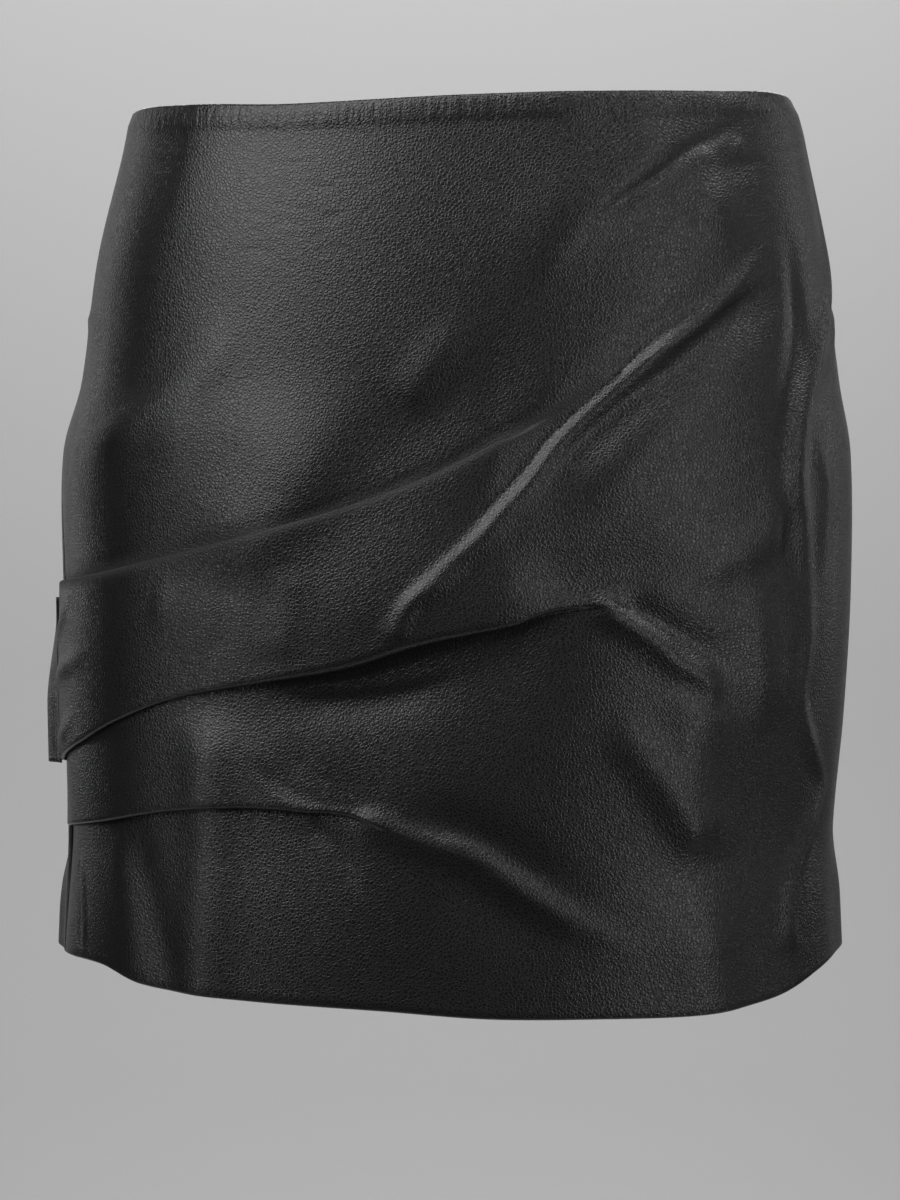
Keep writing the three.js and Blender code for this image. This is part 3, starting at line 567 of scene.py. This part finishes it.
def grain_group():
    """Pebbled leather grain: its height, a mask of where the hide is worn smoother and one of the valleys between
    its pebbles."""
    group = bpy.data.node_groups.new("leather_grain", "ShaderNodeTree")
    for name, value in (("Pebble mm", 1.5), ("Crease mm", 14.0)):
        made = group.interface.new_socket(name, in_out="INPUT", socket_type="NodeSocketFloat")
        made.default_value = value
    for name in ("Height", "Wear", "Valley"):
        group.interface.new_socket(name, in_out="OUTPUT", socket_type="NodeSocketFloat")
    links = group.links
    given = node_of(group, "NodeGroupInput")
    put = node_of(group, "NodeGroupOutput")
    where = node_of(group, "ShaderNodeTexCoord")

    def per_metre(socket):
        node = node_of(group, "ShaderNodeMath", operation="DIVIDE")
        node.inputs[0].default_value = 1000.0
        links.new(given.outputs[socket], node.inputs[1])
        return node.outputs[0]
    pebble_scale, crease_scale = per_metre("Pebble mm"), per_metre("Crease mm")
    bend = node_of(group, "ShaderNodeTexNoise")
    bend.inputs["Scale"].default_value = 600.0
    bend.inputs["Detail"].default_value = 1.0
    links.new(where.outputs["Object"], bend.inputs["Vector"])
    shift = node_of(group, "ShaderNodeVectorMath", operation="MULTIPLY_ADD")
    shift.inputs[1].default_value = (0.0005, 0.0005, 0.0005)
    links.new(bend.outputs["Color"], shift.inputs[0])
    links.new(where.outputs["Object"], shift.inputs[2])
    gaps = node_of(group, "ShaderNodeTexVoronoi", feature="DISTANCE_TO_EDGE")
    links.new(shift.outputs[0], gaps.inputs["Vector"])
    links.new(pebble_scale, gaps.inputs["Scale"])
    dome = node_of(group, "ShaderNodeMapRange", interpolation_type="SMOOTHSTEP")
    dome.inputs["From Max"].default_value = 0.33
    links.new(gaps.outputs["Distance"], dome.inputs["Value"])
    valley = node_of(group, "ShaderNodeMapRange", interpolation_type="SMOOTHSTEP")
    valley.inputs["From Max"].default_value = 0.13
    valley.inputs["To Min"].default_value = 1.0
    valley.inputs["To Max"].default_value = 0.0
    links.new(gaps.outputs["Distance"], valley.inputs["Value"])
    creases = node_of(group, "ShaderNodeTexNoise", noise_type="RIDGED_MULTIFRACTAL")
    creases.inputs["Detail"].default_value = 4.0
    creases.inputs["Roughness"].default_value = 0.55
    links.new(where.outputs["Object"], creases.inputs["Vector"])
    links.new(crease_scale, creases.inputs["Scale"])
    wear = node_of(group, "ShaderNodeTexNoise")
    wear.inputs["Scale"].default_value = 22.0
    wear.inputs["Detail"].default_value = 3.0
    links.new(where.outputs["Object"], wear.inputs["Vector"])
    sharpen = node_of(group, "ShaderNodeMapRange")
    sharpen.inputs["From Min"].default_value = 0.35
    sharpen.inputs["From Max"].default_value = 0.7
    links.new(wear.outputs[0], sharpen.inputs["Value"])
    both = node_of(group, "ShaderNodeMath", operation="MULTIPLY_ADD")
    both.inputs[1].default_value = -0.06
    links.new(creases.outputs[0], both.inputs[0])
    links.new(dome.outputs[0], both.inputs[2])
    links.new(both.outputs[0], put.inputs["Height"])
    links.new(sharpen.outputs[0], put.inputs["Wear"])
    links.new(valley.outputs[0], put.inputs["Valley"])
    return group


GRAIN = grain_group()


def leather(name, colours, roughness, grain_depth, sheen, finished):
    """colours and roughness run from the plain hide to where it is worn. grain_depth is in metres. The finished side
    has gathered edges, worn creases and a dull fold too."""
    material = bpy.data.materials.new(name)
    material.use_nodes = True
    tree = material.node_tree
    links = tree.links
    shader = tree.nodes["Principled BSDF"]
    grain = node_of(tree, "ShaderNodeGroup")
    grain.node_tree = GRAIN
    colour = node_of(tree, "ShaderNodeMix", data_type="RGBA")
    colour.inputs["A"].default_value = (*colours[0], 1)
    colour.inputs["B"].default_value = (*colours[1], 1)
    links.new(grain.outputs["Wear"], colour.inputs["Factor"])
    links.new(colour.outputs["Result"], shader.inputs["Base Color"])
    rough = node_of(tree, "ShaderNodeMapRange")
    rough.inputs["To Min"].default_value = roughness[0]
    rough.inputs["To Max"].default_value = roughness[1]
    links.new(grain.outputs["Wear"], rough.inputs["Value"])
    dull = node_of(tree, "ShaderNodeMath", operation="MULTIPLY_ADD")
    dull.inputs[1].default_value = VALLEY_DULL
    links.new(grain.outputs["Valley"], dull.inputs[0])
    links.new(rough.outputs[0], dull.inputs[2])
    roughest = dull_fold(tree, dull) if finished else dull
    links.new(roughest.outputs[0], shader.inputs["Roughness"])
    bump = node_of(tree, "ShaderNodeBump")
    bump.inputs["Distance"].default_value = grain_depth
    links.new(grain.outputs["Height"], bump.inputs["Height"])
    last = worn_creases(tree, edge_puckers(tree, bump)) if finished else bump
    links.new(last.outputs["Normal"], shader.inputs["Normal"])
    shader.inputs["IOR"].default_value = 1.5
    shader.inputs["Sheen Weight"].default_value = sheen
    shader.inputs["Sheen Roughness"].default_value = 0.5
    return material


def dull_fold(tree, rough):
    """The leather is stretched and duller along the fold of the upper pleat."""
    near = node_of(tree, "ShaderNodeAttribute", attribute_name="fold_dull")
    duller = node_of(tree, "ShaderNodeMath", operation="MULTIPLY_ADD")
    duller.inputs[1].default_value = FOLD_DULL
    tree.links.new(near.outputs["Fac"], duller.inputs[0])
    tree.links.new(rough.outputs[0], duller.inputs[2])
    return duller


def edge_puckers(tree, grain_bump):
    """Fine gathers across the turned leather at the waist."""
    links = tree.links
    where = node_of(tree, "ShaderNodeTexCoord")
    squash = node_of(tree, "ShaderNodeMapping")
    squash.inputs["Scale"].default_value = (330.0, 330.0, 45.0)
    links.new(where.outputs["Object"], squash.inputs["Vector"])
    gathers = node_of(tree, "ShaderNodeTexNoise")
    gathers.inputs["Scale"].default_value = 1.0
    gathers.inputs["Detail"].default_value = 2.0
    links.new(squash.outputs[0], gathers.inputs["Vector"])
    edge = node_of(tree, "ShaderNodeAttribute", attribute_name="edge_mm")
    near = node_of(tree, "ShaderNodeMapRange", interpolation_type="SMOOTHSTEP")
    near.inputs["From Min"].default_value = TURNED + PUCKER_FADE[0]
    near.inputs["From Max"].default_value = TURNED + PUCKER_FADE[1]
    links.new(edge.outputs["Fac"], near.inputs["Value"])
    height = node_of(tree, "ShaderNodeMath", operation="MULTIPLY")
    links.new(gathers.outputs[0], height.inputs[0])
    links.new(near.outputs[0], height.inputs[1])
    bump = node_of(tree, "ShaderNodeBump")
    bump.inputs["Distance"].default_value = 0.0006
    links.new(height.outputs[0], bump.inputs["Height"])
    links.new(grain_bump.outputs["Normal"], bump.inputs["Normal"])
    return bump


def worn_creases(tree, under):
    """Fine creases where the leather bends in wear, near the left of the waist."""
    links = tree.links
    where = node_of(tree, "ShaderNodeTexCoord")
    away = node_of(tree, "ShaderNodeVectorMath", operation="DISTANCE")
    away.inputs[1].default_value = WORN_PLACE
    links.new(where.outputs["Object"], away.inputs[0])
    near = node_of(tree, "ShaderNodeMapRange", interpolation_type="SMOOTHSTEP")
    near.inputs["From Min"].default_value = WORN_REACH
    near.inputs["From Max"].default_value = WORN_REACH * 0.3
    links.new(away.outputs["Value"], near.inputs["Value"])
    turned = node_of(tree, "ShaderNodeMapping")
    turned.inputs["Rotation"].default_value = (0.0, math.radians(-24), 0.0)
    turned.inputs["Scale"].default_value = (55.0, 55.0, 170.0)
    links.new(where.outputs["Object"], turned.inputs["Vector"])
    lines = node_of(tree, "ShaderNodeTexNoise", noise_type="RIDGED_MULTIFRACTAL")
    lines.inputs["Scale"].default_value = 1.0
    lines.inputs["Detail"].default_value = 2.0
    links.new(turned.outputs[0], lines.inputs["Vector"])
    height = node_of(tree, "ShaderNodeMath", operation="MULTIPLY")
    links.new(lines.outputs[0], height.inputs[0])
    links.new(near.outputs[0], height.inputs[1])
    bump = node_of(tree, "ShaderNodeBump", invert=True)
    bump.inputs["Distance"].default_value = 0.0003
    links.new(height.outputs[0], bump.inputs["Height"])
    links.new(under.outputs["Normal"], bump.inputs["Normal"])
    return bump


OUTSIDE = leather("leather_outside", ((0.0032, 0.0032, 0.0036), (0.0050, 0.0050, 0.0056)), (0.31, 0.28),
                  grain_depth=0.00008, sheen=0.01, finished=True)
INSIDE = leather("leather_inside", ((0.030, 0.029, 0.029), (0.040, 0.038, 0.038)), (0.80, 0.74),
                 grain_depth=0.00004, sheen=0.15, finished=False)

leather_piece("front_leather", front_cloth(), "front_panel", (OUTSIDE, INSIDE))
leather_piece("back_leather", back_cloth(), "back_panel", (OUTSIDE, INSIDE))
leather_piece("tab_leather", tab_cloth(), "side_tab", (OUTSIDE, INSIDE))


# Stage, light and camera
CAMERA_AWAY = 1.6
CAMERA_X = -0.0053
CAMERA_Z = -0.2203
FRAME_TALL = 0.534  # height of what the camera sees at the skirt
SENSOR = 36.0  # millimetres
MIDDLE = (0.0, 0.0, -0.2)
BACKDROP = (0.0, 2.7, 0.0)
FLOOR_Z = -1.1
SWEEP_Y = 2.7
SWEEP_ROUND = 0.8
SWEEP_STEPS = 12
SWEEP_WIDE = 3.0
SWEEP_TOP = 3.0
SWEEP_FRONT = -0.6
DIM = 0.02  # how strong the even light is
PALE = 0.5  # how pale the room is where it is seen past the paper

# Each light: name, bearing, height in degrees, how far away, size, watts and what it is turned to.
LIGHTS = [
    ("key", -41, 34, 1.8, (1.5, 1.1), 22, MIDDLE),
    ("front", -4, 62, 1.7, (1.1, 0.7), 13, MIDDLE),
    ("side", 43, 5, 1.9, (0.4, 1.7), 8, MIDDLE),
    ("high_side", 80, 48, 1.7, (0.7, 0.7), 7, MIDDLE),
    ("left_rim", -130, 14, 1.5, (0.25, 1.1), 1.8, MIDDLE),
    ("right_rim", 122, 14, 1.5, (0.25, 1.1), 1.6, MIDDLE),
    ("backdrop_left", -158, 40, 2.3, (1.2, 0.8), 10, BACKDROP),
    ("backdrop_right", 158, 40, 2.3, (1.2, 0.8), 10, BACKDROP),
    ("back", 180, 30, 1.9, (1.2, 0.8), 12, MIDDLE),
    ("fill", 12, 4, 2.5, (1.6, 1.2), 0.7, MIDDLE),
    ("low_left", -52, 0, 1.7, (0.16, 1.2), 2.6, MIDDLE),
    ("low_right", 84, 4, 1.7, (0.25, 1.2), 1.4, MIDDLE),
]


def plain_material(name, colour, roughness):
    material = bpy.data.materials.new(name)
    material.use_nodes = True
    shader = material.node_tree.nodes["Principled BSDF"]
    shader.inputs["Base Color"].default_value = (*colour, 1)
    shader.inputs["Roughness"].default_value = roughness
    return material


def studio_sweep():
    """A pale floor that curves up into a backdrop."""
    bm = bmesh.new()
    outline = [(SWEEP_FRONT, FLOOR_Z), (SWEEP_Y - SWEEP_ROUND, FLOOR_Z)]
    for k in range(1, SWEEP_STEPS + 1):
        a = math.pi / 2 * k / SWEEP_STEPS
        outline.append((SWEEP_Y - SWEEP_ROUND + SWEEP_ROUND * math.sin(a),
                        FLOOR_Z + SWEEP_ROUND * (1 - math.cos(a))))
    outline.append((SWEEP_Y, SWEEP_TOP))
    verts = [bm.verts.new((-SWEEP_WIDE / 2, y, z)) for y, z in outline]
    edges = [bm.edges.new(pair) for pair in zip(verts, verts[1:])]
    made = bmesh.ops.extrude_edge_only(bm, edges=edges)["geom"]
    moved = [part for part in made if isinstance(part, bmesh.types.BMVert)]
    bmesh.ops.translate(bm, verts=moved, vec=(SWEEP_WIDE, 0, 0))
    for face in bm.faces:
        face.smooth = True
    mesh = bpy.data.meshes.new("sweep")
    bm.to_mesh(mesh)
    bm.free()
    sweep = bpy.data.objects.new("sweep", mesh)
    mesh.materials.append(plain_material("sweep_paper", (0.62, 0.62, 0.62), 0.9))
    bpy.context.scene.collection.objects.link(sweep)


def soft_light(name, azimuth, elevation, away, size, watts, aim):
    """An area light on a bearing from the skirt: 0 is the camera's side, and positive is to its right."""
    a, e = math.radians(azimuth), math.radians(elevation)
    light = bpy.data.lights.new(name, "AREA")
    light.shape = "RECTANGLE"
    light.size, light.size_y = size
    light.energy = watts
    lamp = bpy.data.objects.new(name, light)
    out = (math.sin(a) * math.cos(e), -math.cos(a) * math.cos(e), math.sin(e))
    lamp.location = [m + away * o for m, o in zip(MIDDLE, out)]
    lamp.rotation_euler = (Vector(aim) - lamp.location).to_track_quat("-Z", "Y").to_euler()
    bpy.context.scene.collection.objects.link(lamp)


def camera():
    data = bpy.data.cameras.new("camera")
    data.sensor_fit = "VERTICAL"
    data.sensor_height = SENSOR
    data.lens = SENSOR * CAMERA_AWAY / FRAME_TALL
    made = bpy.data.objects.new("camera", data)
    made.location = (CAMERA_X, -CAMERA_AWAY, CAMERA_Z)
    made.rotation_euler = (math.pi / 2, 0, 0)
    bpy.context.scene.collection.objects.link(made)
    bpy.context.scene.camera = made


def world():
    """A dim even light from a room that is pale where it is seen."""
    made = bpy.data.worlds.new("studio")
    made.use_nodes = True
    tree = made.node_tree
    background = tree.nodes["Background"]
    background.inputs["Color"].default_value = (1, 1, 1, 1)
    rays = node_of(tree, "ShaderNodeLightPath")
    level = node_of(tree, "ShaderNodeMapRange")
    level.inputs["To Min"].default_value = DIM
    level.inputs["To Max"].default_value = PALE
    tree.links.new(rays.outputs["Is Camera Ray"], level.inputs["Value"])
    tree.links.new(level.outputs[0], background.inputs["Strength"])
    bpy.context.scene.world = made


studio_sweep()
for light in LIGHTS:
    soft_light(*light)
world()
camera()
bpy.context.scene.view_settings.view_transform = "Standard"
